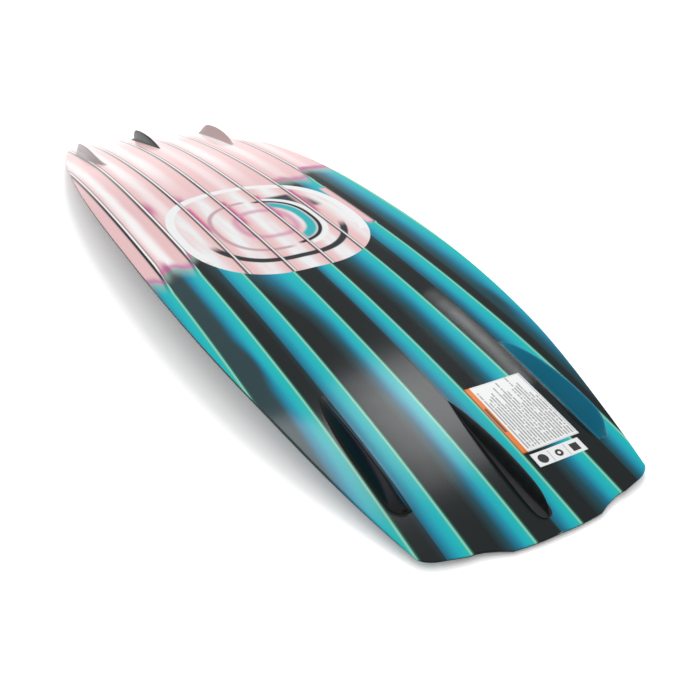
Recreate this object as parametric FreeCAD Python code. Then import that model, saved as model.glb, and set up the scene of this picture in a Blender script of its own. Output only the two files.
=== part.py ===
"""Twin-tip wakeboard, lying on its deck with the running base up.

X runs along the board, with the tail at -X and the nose at +X, Y runs across it and Z is up.
The origin is the centre of the board's footprint, on the surface that the deck's two tips rest on.
Lengths are in millimetres.
"""
import FreeCAD
import Part
import math
import os

Vec = FreeCAD.Vector

# Driving dimensions of the board
HALF_LENGTH = 695.0
HALF_WIDTH = 217.5
ROCKER = 66.6            # how far the base drops from the centre to a tip
ROCKER_POWER = 2.227
WAIST_LOSS = 0.37        # share of the half width lost at the very end
WAIST_POWER = 2.413
MID_THICKNESS = 17.0
TIP_THICKNESS = 9.5
BASE_HEIGHT = 71.865     # base amidships beside the spine, above the resting surface

# Layers, from the base towards the deck
BASE_SHEET = 0.8
BASE_GLASS = 1.2
DECK_GLASS = 1.2
DECK_SHEET = 0.8
RIM_SHARE = 0.20         # share of the thickness left at the sharp rim

# Base relief
SPINE_RISE = 1.2         # ridge on the centre line, which runs out at the centre lobe's edges
FIN_CREASE_Y = 122.0     # crease that the side fins stand on
CHINE_SHARE = 0.67       # chine's place between the fin crease and the rail, at most
CHINE_Y = 169.0
LOBE_Y = 56.0
FACET_SLOPE = 0.13       # outer facet's slope at the tips
MID_ROLL = 0.026         # slope outside the fin crease amidships
RAIL_SLOPE = 0.045       # slope outside the chine amidships

# Outline of a tip, as distances from the end of the board
LOBE_SAG = 3.4           # at the end of the centre lobe
NOTCH_DEPTH = 12.6
NOTCH_WIDTH = 44.0
SWEEP = 0.24             # outside the notch
CORNER_START_Y = 122.0
CORNER_END_Y = 148.0
CORNER_DEPTH = 13.0
RAIL_MEETS_TIP = 655.0    # about where the rail's curve reaches the corner

# Lines along the board that carry its surfaces, then shares of the way from chine to rail
LINE_YS = (0.0, 14.0, 28.0, 42.0, LOBE_Y, 61.5, 67.0, 78.0, 87.0, 96.0, 110.0, FIN_CREASE_Y)
RAIL_SHARES = (0.0, 0.35, 0.65, 0.86, 1.0)
LINES = len(LINE_YS) + len(RAIL_SHARES)
MIDDLE_STATIONS = 20
MIDDLE_SHARE = 0.94
END_SHARES = (0.965, 0.98, 0.991, 1.0)
EDGE_TAPER = 26.0        # width of the band where the deck rounds up to the rim

# Fins, as (inner end, outer end, height, place of the peak, rise power, fall power)
SIDE_FIN = (427.6, 613.5, 22.6, 0.75, 0.84, 3.1)
CENTRE_FIN = (495.0, 676.0, 20.3, 0.80, 0.9, 3.0)
FIN_STEPS = 9            # stations on each side of the peak

# Side fins, moulded into the base: distances from the centre line
SIDE_FIN_TOP_Y = 134.3
SIDE_FIN_FOOT_Y = 142.0
SIDE_FIN_WIDEST = 0.7    # place along the fin where it is widest
SIDE_FIN_POWERS = (2.85, 8.6)    # bluntness of the fin's inner and outer ends
SIDE_FIN_EDGE = 1.6      # width of the top edge
SIDE_FIN_SKIN = 1.2
SIDE_FIN_SINK = 0.5      # how far the fins' feet reach into the base sheet

# Centre fins
FIN_WIDTH = 10.0
FIN_FOOT_WIDTH = 20.0
FIN_FOOT_LIFT = 0.16     # share of the height where the flared foot meets the blade
FIN_FOOT_WIDEST = 0.8
FIN_SHOULDER = (0.50, 0.80)     # share of the height, share of the foot's width
FIN_TOP_WIDTH = 2.6
FIN_GAP = 0.02
FIN_SCREW_X = (567.0, 627.0)

# M5 hardware of the centre fins
SCREW_R = 2.5
NUT_R = 3.4
NUT_LENGTH = 7.0
SLEEVE_R = 4.0
SLEEVE_BORE_R = 2.7
WASHER_R = 6.5
WASHER_THICKNESS = 1.0
HEAD_R = 4.7
HEAD_HEIGHT = 2.8
SOCKET_WIDTH = 3.0
SOCKET_DEPTH = 1.6

# M6 binding inserts
THREAD_CORE_R = 2.5
INSERT_R = 5.0
INSERT_FLANGE_R = 7.5
INSERT_FLANGE = 1.5
INSERT_LENGTH = 12.0
INSERT_BORE = 11.0
INSERT_RECESS = 0.5

# Binding stance
STANCE_X = 292.1
COLUMN_Y = 76.2
ROW_PITCH = 25.4
ROWS = 6

# Core parts
STRINGER_Y = 36.0
STRINGER_WIDTH = 8.0
STRINGER_HALF_LENGTH = 600.0
PAD_HALF_LENGTH = 80.0
PAD_HALF_WIDTH = 14.0
PAD_DEPTHS = (3.0, 10.0)        # under the base

# Labels on the base, as (x from, x to, y from, y to)
MAIN_LABEL = (487.0, 596.5, 28.0, 107.0)
SMALL_LABEL = (600.5, 619.5, 34.0, 100.5)
LABEL_GAP = 0.03
LABEL_THICKNESS = 0.15

ENDS = (("tail", -1), ("nose", 1))
SIDES = (("left", -1), ("right", 1))


def smooth(value, start, end):
    """Ease from 0 at start to 1 at end."""
    share = min(max((value - start) / (end - start), 0.0), 1.0)
    return share * share * (3.0 - 2.0 * share)


def rocker(x):
    """Height of the base's centre line over its middle, which is zero or less."""
    return -ROCKER * (abs(x) / HALF_LENGTH) ** ROCKER_POWER


def half_width(x):
    return HALF_WIDTH * (1.0 - WAIST_LOSS * (abs(x) / HALF_LENGTH) ** WAIST_POWER)


def chine_y(x):
    """Distance of the chine from the centre line; it leaves with the rail near the tips."""
    outside = half_width(x) - FIN_CREASE_Y
    return min(CHINE_Y, FIN_CREASE_Y + CHINE_SHARE * outside)


def outer_drop(x, y):
    """Drop of the two facets outside the fin crease and outside the chine."""
    tip = smooth(abs(x), 400.0, 600.0)
    roll = MID_ROLL + (FACET_SLOPE - MID_ROLL) * tip
    bevel = RAIL_SLOPE * (1.0 - tip)
    return roll * max(y - FIN_CREASE_Y, 0.0) + bevel * max(y - chine_y(x), 0.0)


def spine(y):
    """Rise of the low ridge along the centre line."""
    return SPINE_RISE * max(1.0 - y / LOBE_Y, 0.0)


def base_z(x, y):
    """Height of the running base at a point."""
    flat = BASE_HEIGHT + rocker(x) - outer_drop(x, abs(y))
    return flat + spine(abs(y))


def thickness(x):
    """Thickness of the board away from its rim."""
    return MID_THICKNESS + (TIP_THICKNESS - MID_THICKNESS) * smooth(abs(x), 330.0, HALF_LENGTH)


def tip_x(y):
    """Largest x of the outline at a distance from the centre line."""
    x = HALF_LENGTH - LOBE_SAG * (min(y, LOBE_Y) / LOBE_Y) ** 2
    notch = min(max((y - LOBE_Y) / NOTCH_WIDTH, 0.0), 1.0)
    x -= NOTCH_DEPTH * math.sin(0.5 * math.pi * notch)
    x -= SWEEP * max(y - LOBE_Y - NOTCH_WIDTH, 0.0)
    corner = min(max((y - CORNER_START_Y) / (CORNER_END_Y - CORNER_START_Y), 0.0), 1.0)
    return x - CORNER_DEPTH * (1.0 - math.sqrt(1.0 - corner * corner))


def line_y(index, x):
    """Distance from the centre line of one of the lines along the board, at x."""
    if index < len(LINE_YS):
        return LINE_YS[index]
    chine = chine_y(x)
    return chine + (half_width(x) - chine) * RAIL_SHARES[index - len(LINE_YS)]


def line_end(index):
    """Largest x of one of the lines along the board, where it meets the tip's outline."""
    x = RAIL_MEETS_TIP
    for _ in range(12):
        x = 0.5 * (x + tip_x(line_y(index, x)))
    return x


def rim_fullness(index, share, x):
    """Share of the full thickness at a point, which falls off towards the rim."""
    from_tip = (1.0 - abs(share)) * line_end(index)
    from_rail = half_width(x) - line_y(index, x)
    inside = min(min(from_tip, from_rail) / EDGE_TAPER, 1.0)
    rounded = math.sqrt(1.0 - (1.0 - inside) ** 2)
    return RIM_SHARE + (1.0 - RIM_SHARE) * rounded


def layer_depth(layer, total):
    """Depth under the base of a surface between the layers, where the board is total thick."""
    base = (0.0, BASE_SHEET, BASE_SHEET + BASE_GLASS)
    deck = (DECK_SHEET + DECK_GLASS, DECK_SHEET, 0.0)
    skins = BASE_SHEET + BASE_GLASS + DECK_SHEET + DECK_GLASS
    squeeze = min(1.0, 0.9 * total / skins)
    if layer < 3:
        return base[layer] * squeeze
    return total - deck[layer - 3] * squeeze


def station_shares():
    """Places along a line from tail to nose, closer together at the tips."""
    steps = MIDDLE_STATIONS - 1
    middle = [MIDDLE_SHARE * (2.0 * step / steps - 1.0) for step in range(MIDDLE_STATIONS)]
    return [-share for share in reversed(END_SHARES)] + middle + list(END_SHARES)


def line_edge(layer, index, side):
    """Smooth edge along the board on one of the surfaces between the layers."""
    points = []
    shares = station_shares()
    for share in shares:
        x = share * line_end(index)
        y = line_y(index, x)
        full = thickness(x)
        depth = layer_depth(layer, full * rim_fullness(index, share, x))
        points.append(Vec(x, side * y, base_z(x, y) - depth))
    curve = Part.BSplineCurve()
    curve.interpolate(Points=points, Parameters=shares)
    return curve.toShape()


def layer_edges(layer):
    """The edges along one surface, from the left rail to the right rail."""
    left = [line_edge(layer, index, -1) for index in range(LINES - 1, 0, -1)]
    right = [line_edge(layer, index, 1) for index in range(LINES)]
    return left + right


def end_face(upper_one, upper_two, lower_one, lower_two, last):
    """Small wall at a tip between two neighbouring lines of two surfaces."""
    pick = -1 if last else 0
    corners = [
        edge.Vertexes[pick].Point for edge in (upper_one, upper_two, lower_two, lower_one)
    ]
    upper = Part.makeLine(corners[0], corners[1])
    lower = Part.makeLine(corners[3], corners[2])
    return Part.makeRuledSurface(upper, lower)


def layer_solid(upper, lower):
    """Closed solid between two surfaces that are given by their edges along the board."""
    faces = []
    for edges in (upper, lower):
        for one, two in zip(edges, edges[1:]):
            faces.append(Part.makeRuledSurface(one, two))
    faces.append(Part.makeRuledSurface(upper[0], lower[0]))
    faces.append(Part.makeRuledSurface(upper[-1], lower[-1]))
    for last in (False, True):
        for place in range(len(upper) - 1):
            faces.append(
                end_face(upper[place], upper[place + 1], lower[place], lower[place + 1], last)
            )
    return solid_of(faces)


def solid_of(faces):
    """Solid with its normals outward from faces that close on each other."""
    shell = Part.makeShell(faces)
    shell.sewShape()
    solid = Part.Solid(Part.Shell(shell.Faces))
    if solid.Volume < 0:
        solid.reverse()
    return solid


def spline_edge(points):
    """Smooth edge through points, with the same even parameters as its neighbours."""
    curve = Part.BSplineCurve()
    parameters = [float(place) for place in range(len(points))]
    curve.interpolate(Points=points, Parameters=parameters)
    return curve.toShape()


def ring_solid(lines):
    """Solid whose skin runs round a ring of lines, closed by a flat fan at each end."""
    edges = [spline_edge(line) for line in lines]
    faces = []
    for one, two in zip(edges, edges[1:] + edges[:1]):
        faces.append(Part.makeRuledSurface(one, two))
    for pick in (0, -1):
        ends = [edge.Vertexes[pick].Point for edge in edges]
        for one, two in zip(ends[1:], ends[2:]):
            faces.append(Part.Face(Part.makePolygon([ends[0], one, two, ends[0]])))
    return solid_of(faces)


def patch_solid(area, cross_lines, upper_depth, lower_depth):
    """Sheet or bar inside an x, y area, between two depths under the base."""
    x_from, x_to, y_from, y_to = area
    steps = max(6, int((x_to - x_from) / 40.0))
    xs = [x_from + (x_to - x_from) * step / steps for step in range(steps + 1)]
    inside = [y for y in cross_lines if y_from < y < y_to]
    ys = [y_from] + inside + [y_to]
    surfaces = []
    for depth in (upper_depth, lower_depth):
        lines = [[Vec(x, y, base_z(x, y) - depth(x)) for x in xs] for y in ys]
        surfaces.append([spline_edge(line) for line in lines])
    return layer_solid(surfaces[0], surfaces[1])


def fin_stations(fin):
    """Pairs of x and share of the full height, from a fin's inner end to its outer end."""
    x_in, x_out, _, peak, rise_power, fall_power = fin
    pairs = []
    for step in range(FIN_STEPS):
        share = step / FIN_STEPS
        pairs.append((peak * share, math.sin(0.5 * math.pi * share) ** rise_power))
    for step in range(FIN_STEPS + 1):
        angle = 0.5 * math.pi * step / FIN_STEPS
        along = peak + (1.0 - peak) * math.sin(angle) ** (2.0 / fall_power)
        pairs.append((along, math.cos(angle)))
    return [(x_in + (x_out - x_in) * along, rise) for along, rise in pairs]


def side_fin_spread(along):
    """Share of the full width at a place along a side fin, which is blunt at both ends."""
    if along < SIDE_FIN_WIDEST:
        away, power = 1.0 - along / SIDE_FIN_WIDEST, SIDE_FIN_POWERS[0]
    else:
        away, power = (along - SIDE_FIN_WIDEST) / (1.0 - SIDE_FIN_WIDEST), SIDE_FIN_POWERS[1]
    return max(max(1.0 - away ** power, 0.0) ** 0.45, 0.08)


def foot_spread(along):
    """Share of a centre fin's full foot width at a place along it."""
    if along < FIN_FOOT_WIDEST:
        return (along / FIN_FOOT_WIDEST) ** 0.55
    away = min((along - FIN_FOOT_WIDEST) / (1.0 - FIN_FOOT_WIDEST), 1.0)
    return math.sqrt(1.0 - away ** 6)


def side_fin(shrink, sink):
    """Fin on the nose's right crease; shrink makes it smaller all round for its filler."""
    x_in, x_out, height = SIDE_FIN[:3]
    small = (x_in + 12.0 * shrink, x_out - 4.0 * shrink) + SIDE_FIN[2:]
    least_rise = 0.1 * shrink
    inner_width = 1.6 * shrink
    top_width = SIDE_FIN_TOP_Y - FIN_CREASE_Y + 0.2 * shrink
    outer_width = SIDE_FIN_FOOT_Y - FIN_CREASE_Y - shrink
    edge_width = 0.5 * SIDE_FIN_EDGE * (1.0 - 0.4 * shrink)
    lines = [[], [], [], []]
    for x, rise in fin_stations(small):
        rise = max(rise, least_rise)
        spread = side_fin_spread((x - x_in) / (x_out - x_in))
        inner = FIN_CREASE_Y + inner_width * spread
        top = FIN_CREASE_Y + top_width * spread
        outer = FIN_CREASE_Y + outer_width * spread
        edge = edge_width * spread
        lift = (height - 1.5 * shrink) * rise - 0.5 * sink
        lines[0].append(Vec(x, inner, base_z(x, inner) - sink))
        lines[1].append(Vec(x, top - edge, base_z(x, top) + lift))
        lines[2].append(Vec(x, top + edge, base_z(x, top) + lift))
        lines[3].append(Vec(x, outer, base_z(x, outer) - sink))
    return ring_solid(lines)


def placed(shape, end_sign, side_sign):
    """Copy of a shape made at the nose's right, mirrored to another corner."""
    copy = shape.copy()
    if end_sign < 0:
        copy = copy.mirror(Vec(0, 0, 0), Vec(1, 0, 0))
    if side_sign < 0:
        copy = copy.mirror(Vec(0, 0, 0), Vec(0, 1, 0))
    return copy


def centre_fin():
    """Blade of the nose's centre fin, before its nuts' pockets are cut."""
    x_in, x_out, height = CENTRE_FIN[:3]
    lines = [[] for _ in range(9)]
    for x, rise in fin_stations(CENTRE_FIN):
        along = (x - x_in) / (x_out - x_in)
        half = max(0.5 * FIN_WIDTH * (1.0 - abs(2.0 * along - 1.0) ** 3), 0.5)
        top_half = min(0.5 * FIN_TOP_WIDTH, 0.5 * half)
        flare_half = max(0.5 * FIN_FOOT_WIDTH * foot_spread(along), half + 0.1)
        foot = base_z(x, 0.0) + FIN_GAP
        side = base_z(x, flare_half) + FIN_GAP
        top = max(height * rise, 0.4)
        shoulder = top * FIN_SHOULDER[0]
        shoulder_half = half * FIN_SHOULDER[1]
        flare = top * FIN_FOOT_LIFT
        lines[0].append(Vec(x, -flare_half, side))
        lines[1].append(Vec(x, -half, foot + flare))
        lines[2].append(Vec(x, -shoulder_half, foot + shoulder))
        lines[3].append(Vec(x, -top_half, foot + top))
        lines[4].append(Vec(x, top_half, foot + top))
        lines[5].append(Vec(x, shoulder_half, foot + shoulder))
        lines[6].append(Vec(x, half, foot + flare))
        lines[7].append(Vec(x, flare_half, side))
        lines[8].append(Vec(x, 0.0, foot))
    return ring_solid(lines)


def deck_z(x, y=0.0):
    """Height of the deck where it isn't rounded up to the rim."""
    return base_z(x, y) - thickness(x)


def deck_normal(x):
    """Direction from the deck towards the base, square to the deck."""
    slope = (deck_z(x + 0.5) - deck_z(x - 0.5)) / 1.0
    direction = Vec(-slope, 0, 1)
    return direction.normalize()


def on_screw(radius, start, end, x):
    """Cylinder on a fin screw's axis, from start to end above the deck."""
    axis = deck_normal(x)
    foot = Vec(x, 0, deck_z(x)) + axis * start
    return Part.makeCylinder(radius, end - start, foot, axis)


def fin_hardware(x, board):
    """Nut, sleeve, washer and screw of one centre-fin screw, and the nut's pocket."""
    through = thickness(x)
    nut_end = through + NUT_LENGTH
    nut = on_screw(NUT_R, through + 0.4, nut_end, x)
    nut = nut.cut(on_screw(SCREW_R, through - 1.0, nut_end + 1.0, x))
    tube = on_screw(SLEEVE_R, -4.0, through + 4.0, x)
    sleeve = tube.cut(on_screw(SLEEVE_BORE_R, -5.0, through + 5.0, x)).common(board)
    washer = on_screw(WASHER_R, -WASHER_THICKNESS, -0.02, x)
    washer = washer.cut(on_screw(SLEEVE_BORE_R, -WASHER_THICKNESS - 1.0, 1.0, x))
    head_top = -WASHER_THICKNESS
    head = on_screw(HEAD_R, head_top - HEAD_HEIGHT, head_top, x)
    head = head.makeFillet(1.4, [head.Edges[edge_at(head, x, head_top - HEAD_HEIGHT)]])
    shaft = on_screw(SCREW_R, head_top - 0.1, nut_end - 0.6, x)
    screw = head.fuse(shaft).cut(hex_socket(x, head_top - HEAD_HEIGHT))
    return nut, sleeve, washer, screw, tube


def edge_at(head, x, level):
    """Index of the head's outer circle at a level under the deck."""
    centre = Vec(x, 0, deck_z(x)) + deck_normal(x) * level
    distances = [
        (edge.CenterOfMass - centre).Length if edge.Closed else 1e9 for edge in head.Edges
    ]
    return distances.index(min(distances))


def hex_socket(x, level):
    """Hexagonal recess in a screw head."""
    axis = deck_normal(x)
    centre = Vec(x, 0, deck_z(x)) + axis * level
    across = Vec(0, 1, 0)
    along = axis.cross(across)
    corner = SOCKET_WIDTH / math.sqrt(3.0)
    points = []
    for step in range(7):
        angle = math.pi * step / 3.0
        points.append(centre + across * (corner * math.cos(angle)) + along * (corner * math.sin(angle)))
    return Part.Face(Part.makePolygon(points)).extrude(axis * SOCKET_DEPTH)


def binding_insert(x, y):
    """Flanged brass insert with a blind M6 bore that opens at the deck."""
    mouth = deck_z(x, y) + INSERT_RECESS
    body = Part.makeCylinder(INSERT_R, INSERT_LENGTH, Vec(x, y, mouth))
    flange_z = mouth + INSERT_LENGTH - INSERT_FLANGE
    flange = Part.makeCylinder(INSERT_FLANGE_R, INSERT_FLANGE, Vec(x, y, flange_z))
    return body.fuse(flange)


def insert_bore(x, y):
    mouth = deck_z(x, y) + INSERT_RECESS
    return Part.makeCylinder(THREAD_CORE_R, INSERT_BORE + 1.0, Vec(x, y, mouth - 1.0))


def insert_places(end_sign):
    """Centres of one foot's binding inserts."""
    first = STANCE_X - 0.5 * ROW_PITCH * (ROWS - 1)
    xs = [first + ROW_PITCH * row for row in range(ROWS)]
    return [(end_sign * x, side * COLUMN_Y) for x in xs for side in (-1, 1)]


def insert_hole(x, y):
    """Opening that an insert needs in the deck and in the core."""
    down = Part.makeCylinder(INSERT_R, INSERT_LENGTH, Vec(x, y, deck_z(x, y) - 2.0))
    return down.fuse(binding_insert(x, y))


def pads(end_sign):
    """The two hard pads that hold one foot's inserts."""
    made = []
    for side in (-1, 1):
        middle = end_sign * STANCE_X
        area = (
            middle - PAD_HALF_LENGTH,
            middle + PAD_HALF_LENGTH,
            side * COLUMN_Y - PAD_HALF_WIDTH,
            side * COLUMN_Y + PAD_HALF_WIDTH,
        )
        upper, lower = PAD_DEPTHS
        made.append(patch_solid(area, (), lambda x: upper, lambda x: lower))
    return made


def stringer(side_sign):
    """Upright wooden strip along the core, from glass to glass."""
    middle = side_sign * STRINGER_Y
    area = (
        -STRINGER_HALF_LENGTH,
        STRINGER_HALF_LENGTH,
        middle - 0.5 * STRINGER_WIDTH,
        middle + 0.5 * STRINGER_WIDTH,
    )
    base_skin = BASE_SHEET + BASE_GLASS + 0.02
    deck_skin = DECK_SHEET + DECK_GLASS + 0.02
    return patch_solid(area, (), lambda x: base_skin, lambda x: thickness(x) - deck_skin)


def label(area):
    """Thin printed label that follows the base."""
    outside = -LABEL_GAP - LABEL_THICKNESS
    return patch_solid(area, LINE_YS, lambda x: outside, lambda x: -LABEL_GAP)


def save(name, shape):
    """Write one sub-part."""
    shape.exportStep("parts/" + name + ".step")


def main():
    os.makedirs("parts", exist_ok=True)
    surfaces = [layer_edges(layer) for layer in range(6)]
    board = layer_solid(surfaces[0], surfaces[5])
    layers = [layer_solid(one, two) for one, two in zip(surfaces, surfaces[1:])]
    base_sheet, base_laminate, foam_core, deck_laminate, deck_sheet = layers

    sleeve_holes = []
    fin_blade = centre_fin()
    for end, end_sign in ENDS:
        sets = [fin_hardware(x, board) for x in FIN_SCREW_X]
        nuts, sleeves, washers, screws, holes = zip(*sets)
        pockets = [on_screw(NUT_R, 0.0, thickness(x) + NUT_LENGTH, x) for x in FIN_SCREW_X]
        blade = fin_blade.cut(pockets)
        nuts = [nut.common(fin_blade) for nut in nuts]
        save(end + "_centre_fin", placed(blade, end_sign, 1))
        groups = (("nuts", nuts), ("sleeves", sleeves), ("washers", washers), ("screws", screws))
        for kind, shapes in groups:
            group = [placed(shape, end_sign, 1) for shape in shapes]
            save(end + "_fin_" + kind, Part.makeCompound(group))
        sleeve_holes += [placed(hole, end_sign, 1) for hole in holes]

    fins = []
    hollows = []
    filler = side_fin(SIDE_FIN_SKIN, BASE_SHEET - 0.02)
    for end, end_sign in ENDS:
        for side, side_sign in SIDES:
            fins.append(placed(side_fin(0.0, SIDE_FIN_SINK), end_sign, side_sign))
            hollows.append(placed(side_fin(SIDE_FIN_SKIN, BASE_SHEET + 0.2), end_sign, side_sign))
            save(end + "_" + side + "_fin_filler", placed(filler, end_sign, side_sign))
    base_sheet = base_sheet.fuse(fins).cut(hollows + sleeve_holes)

    holes = []
    core_tools = list(sleeve_holes)
    for end, end_sign in ENDS:
        places = insert_places(end_sign)
        inserts = [binding_insert(x, y).cut(insert_bore(x, y)) for x, y in places]
        openings = [insert_hole(x, y) for x, y in places]
        end_pads = pads(end_sign)
        save(end + "_binding_inserts", Part.makeCompound(inserts))
        save(end + "_insert_pads", Part.makeCompound([pad.cut(openings) for pad in end_pads]))
        holes += openings
        core_tools += openings + end_pads
    for side, side_sign in SIDES:
        strip = stringer(side_sign)
        save(side + "_stringer", strip)
        core_tools.append(strip)

    save("base_sheet", base_sheet)
    save("base_laminate", base_laminate.cut(sleeve_holes))
    save("foam_core", foam_core.cut(core_tools))
    save("deck_laminate", deck_laminate.cut(holes + sleeve_holes))
    save("deck_sheet", deck_sheet.cut(holes + sleeve_holes))
    save("care_label", label(MAIN_LABEL))
    save("picture_label", label(SMALL_LABEL))


main()
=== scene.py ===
"""Looks of a twin-tip wakeboard that lies on its deck with its running base up.

Shapes are worked out in millimetres and turned into metres by mesh_piece().
"""
import math

import bpy
import numpy as np
from mathutils import Matrix, Vector


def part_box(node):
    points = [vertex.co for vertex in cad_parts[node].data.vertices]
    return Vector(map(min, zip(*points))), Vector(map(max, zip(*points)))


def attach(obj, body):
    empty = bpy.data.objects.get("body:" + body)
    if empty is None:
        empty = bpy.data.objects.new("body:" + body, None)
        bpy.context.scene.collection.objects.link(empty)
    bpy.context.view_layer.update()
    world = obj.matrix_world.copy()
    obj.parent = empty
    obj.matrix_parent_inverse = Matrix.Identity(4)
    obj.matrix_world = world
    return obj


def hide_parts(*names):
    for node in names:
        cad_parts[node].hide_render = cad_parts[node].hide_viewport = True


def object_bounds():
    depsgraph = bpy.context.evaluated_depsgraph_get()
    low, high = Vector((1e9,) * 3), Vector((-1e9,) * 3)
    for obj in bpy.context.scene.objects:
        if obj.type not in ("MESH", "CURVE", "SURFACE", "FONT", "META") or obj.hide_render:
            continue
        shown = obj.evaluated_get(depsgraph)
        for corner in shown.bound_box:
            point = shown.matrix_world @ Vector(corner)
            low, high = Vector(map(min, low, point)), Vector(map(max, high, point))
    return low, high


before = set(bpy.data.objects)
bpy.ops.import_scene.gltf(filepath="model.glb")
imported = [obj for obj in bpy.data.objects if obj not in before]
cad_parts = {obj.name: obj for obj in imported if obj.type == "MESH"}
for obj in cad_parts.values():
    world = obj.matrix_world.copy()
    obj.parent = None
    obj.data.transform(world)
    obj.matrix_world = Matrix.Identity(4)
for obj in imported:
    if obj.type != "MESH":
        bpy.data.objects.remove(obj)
cad_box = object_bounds()

MM = 0.001

# ---------------------------------------------------------------- driving sizes, in mm
HALF_LENGTH = cad_box[1][0] / MM
HALF_WIDTH = cad_box[1][1] / MM
BASE_HEIGHT = 71.865
ROCKER = 66.6
ROCKER_POWER = 2.227
WAIST_LOSS = 0.37
WAIST_POWER = 2.413
MID_THICKNESS = 17.0
TIP_THICKNESS = 9.5
RIM_SHARE = 0.20
EDGE_TAPER = 26.0

SPINE_RISE = 1.2
FIN_CREASE_Y = 122.0
CHINE_SHARE = 0.67
CHINE_Y = 169.0
LOBE_Y = 56.0
FACET_SLOPE = 0.13
MID_ROLL = 0.026
RAIL_SLOPE = 0.045

LOBE_SAG = 3.4
NOTCH_DEPTH = 12.6
NOTCH_WIDTH = 44.0
SWEEP = 0.24
CORNER_START_Y = 122.0
CORNER_END_Y = 148.0
CORNER_DEPTH = 13.0
RAIL_COVER = 0.15              # how far the skins reach over the layers between them
TIP_COVER = 0.35

# fins, as (inner end, outer end, height, place of the peak, rise power, fall power)
SIDE_FIN = (427.6, 613.5, 22.6, 0.75, 0.84, 3.1)
SIDE_FIN_TOP_Y = 134.3
SIDE_FIN_FOOT_Y = 142.0
SIDE_FIN_WIDEST = 0.7          # place along the fin where it is widest
SIDE_FIN_POWERS = (2.85, 8.6)  # bluntness of the fin's inner and outer ends
SIDE_FIN_EDGE = 1.6
FIN_BAND = (116.0, 150.0)      # distances from the centre line that the side fins stand in
FIN_BAND_LINES = 56            # lines along the board in that band

CENTRE_FIN = (495.0, 676.0, 20.3, 0.80, 0.9, 3.0)
FIN_WIDTH = 10.0
FIN_FOOT_WIDTH = 20.0
FIN_FOOT_LIFT = 0.16           # share of the height where the flared foot meets the blade
FIN_FOOT_WIDEST = 0.8

INSERT_HOLE_R = 5.05
INSERT_HOLE_STEPS = 32         # corners round each insert's hole
INSERT_CELL = 7.0              # half the side of the square that each insert's hole is cut in
ROW_PITCH = 25.4
ROWS = 6
COLUMN_Y = 76.2

LABEL_TURN = 0.2               # degrees that the labels lie askew
LABEL_LIFT = 0.16              # top of a label above the base
LABEL_THICKNESS = 0.12
LABEL_POINTS = 41              # points along each side of a label's mesh


# ---------------------------------------------------------------- shape of the board
def smooth(value, start, end):
    """Ease from 0 at start to 1 at end."""
    share = np.clip((value - start) / (end - start), 0.0, 1.0)
    return share * share * (3.0 - 2.0 * share)


def soft_max(one, two, softness):
    """Larger of two values, with the corner between them rounded."""
    gap = one - two
    return 0.5 * (one + two + np.sqrt(gap * gap + softness * softness))


def rocker(x):
    return -ROCKER * (np.abs(x) / HALF_LENGTH) ** ROCKER_POWER


def half_width(x):
    width = HALF_WIDTH * (1.0 - WAIST_LOSS * (np.abs(x) / HALF_LENGTH) ** WAIST_POWER)
    return np.minimum(width + RAIL_COVER, HALF_WIDTH)


def chine_y(x):
    return np.minimum(CHINE_Y, FIN_CREASE_Y + CHINE_SHARE * (half_width(x) - FIN_CREASE_Y))


def thickness(x):
    drop = smooth(np.abs(x), 330.0, HALF_LENGTH)
    return MID_THICKNESS + (TIP_THICKNESS - MID_THICKNESS) * drop


def outer_drop(x, y):
    """Drop of the facets outside the fin crease and outside the chine."""
    tip = smooth(np.abs(x), 400.0, 600.0)
    roll = MID_ROLL + (FACET_SLOPE - MID_ROLL) * tip
    bevel = RAIL_SLOPE * (1.0 - tip)
    outside_crease = soft_max(y - FIN_CREASE_Y, 0.0, 1.0) - 0.25
    outside_chine = soft_max(y - chine_y(x), 0.0, 1.0) - 0.25
    return roll * np.maximum(outside_crease, 0.0) + bevel * np.maximum(outside_chine, 0.0)


def base_z(x, y):
    """Height of the running base, without its fins."""
    y = np.abs(y)
    spine = SPINE_RISE * np.maximum(1.0 - y / LOBE_Y, 0.0)
    return BASE_HEIGHT + rocker(x) + spine - outer_drop(x, y)


def tip_x(y):
    """Largest x of the outline at a distance from the centre line."""
    y = np.abs(y)
    x = HALF_LENGTH - LOBE_SAG * (np.minimum(y, LOBE_Y) / LOBE_Y) ** 2
    notch = np.clip((y - LOBE_Y) / NOTCH_WIDTH, 0.0, 1.0)
    x = x - NOTCH_DEPTH * np.sin(0.5 * math.pi * notch)
    x = x - SWEEP * np.maximum(y - LOBE_Y - NOTCH_WIDTH, 0.0)
    corner = np.clip((y - CORNER_START_Y) / (CORNER_END_Y - CORNER_START_Y), 0.0, 1.0)
    x = x - CORNER_DEPTH * (1.0 - np.sqrt(1.0 - corner * corner))
    return np.minimum(x + TIP_COVER, HALF_LENGTH)


# ---------------------------------------------------------------- meshes
def mesh_piece(name, points, faces, replaced=(), smooth_angle=None):
    """Object from points in mm, riding on the board's one body."""
    mesh = bpy.data.meshes.new(name)
    mesh.from_pydata((np.asarray(points, float) * MM).tolist(), [], faces)
    mesh.validate()
    mesh.polygons.foreach_set("use_smooth", [True] * len(mesh.polygons))
    piece = bpy.data.objects.new(name, mesh)
    bpy.context.scene.collection.objects.link(piece)
    if smooth_angle is not None:
        mesh.set_sharp_from_angle(angle=math.radians(smooth_angle))
    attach(piece, "root")
    for node in replaced:
        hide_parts(node)
    return piece


def grid_faces(rows, columns, flip=False, wrap=False):
    """Quads over a grid of points stored row by row."""
    faces = []
    last = columns if wrap else columns - 1
    for row in range(rows - 1):
        for column in range(last):
            one = row * columns + column
            two = row * columns + (column + 1) % columns
            face = (one, two, two + columns, one + columns)
            faces.append(face[::-1] if flip else face)
    return faces


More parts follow.
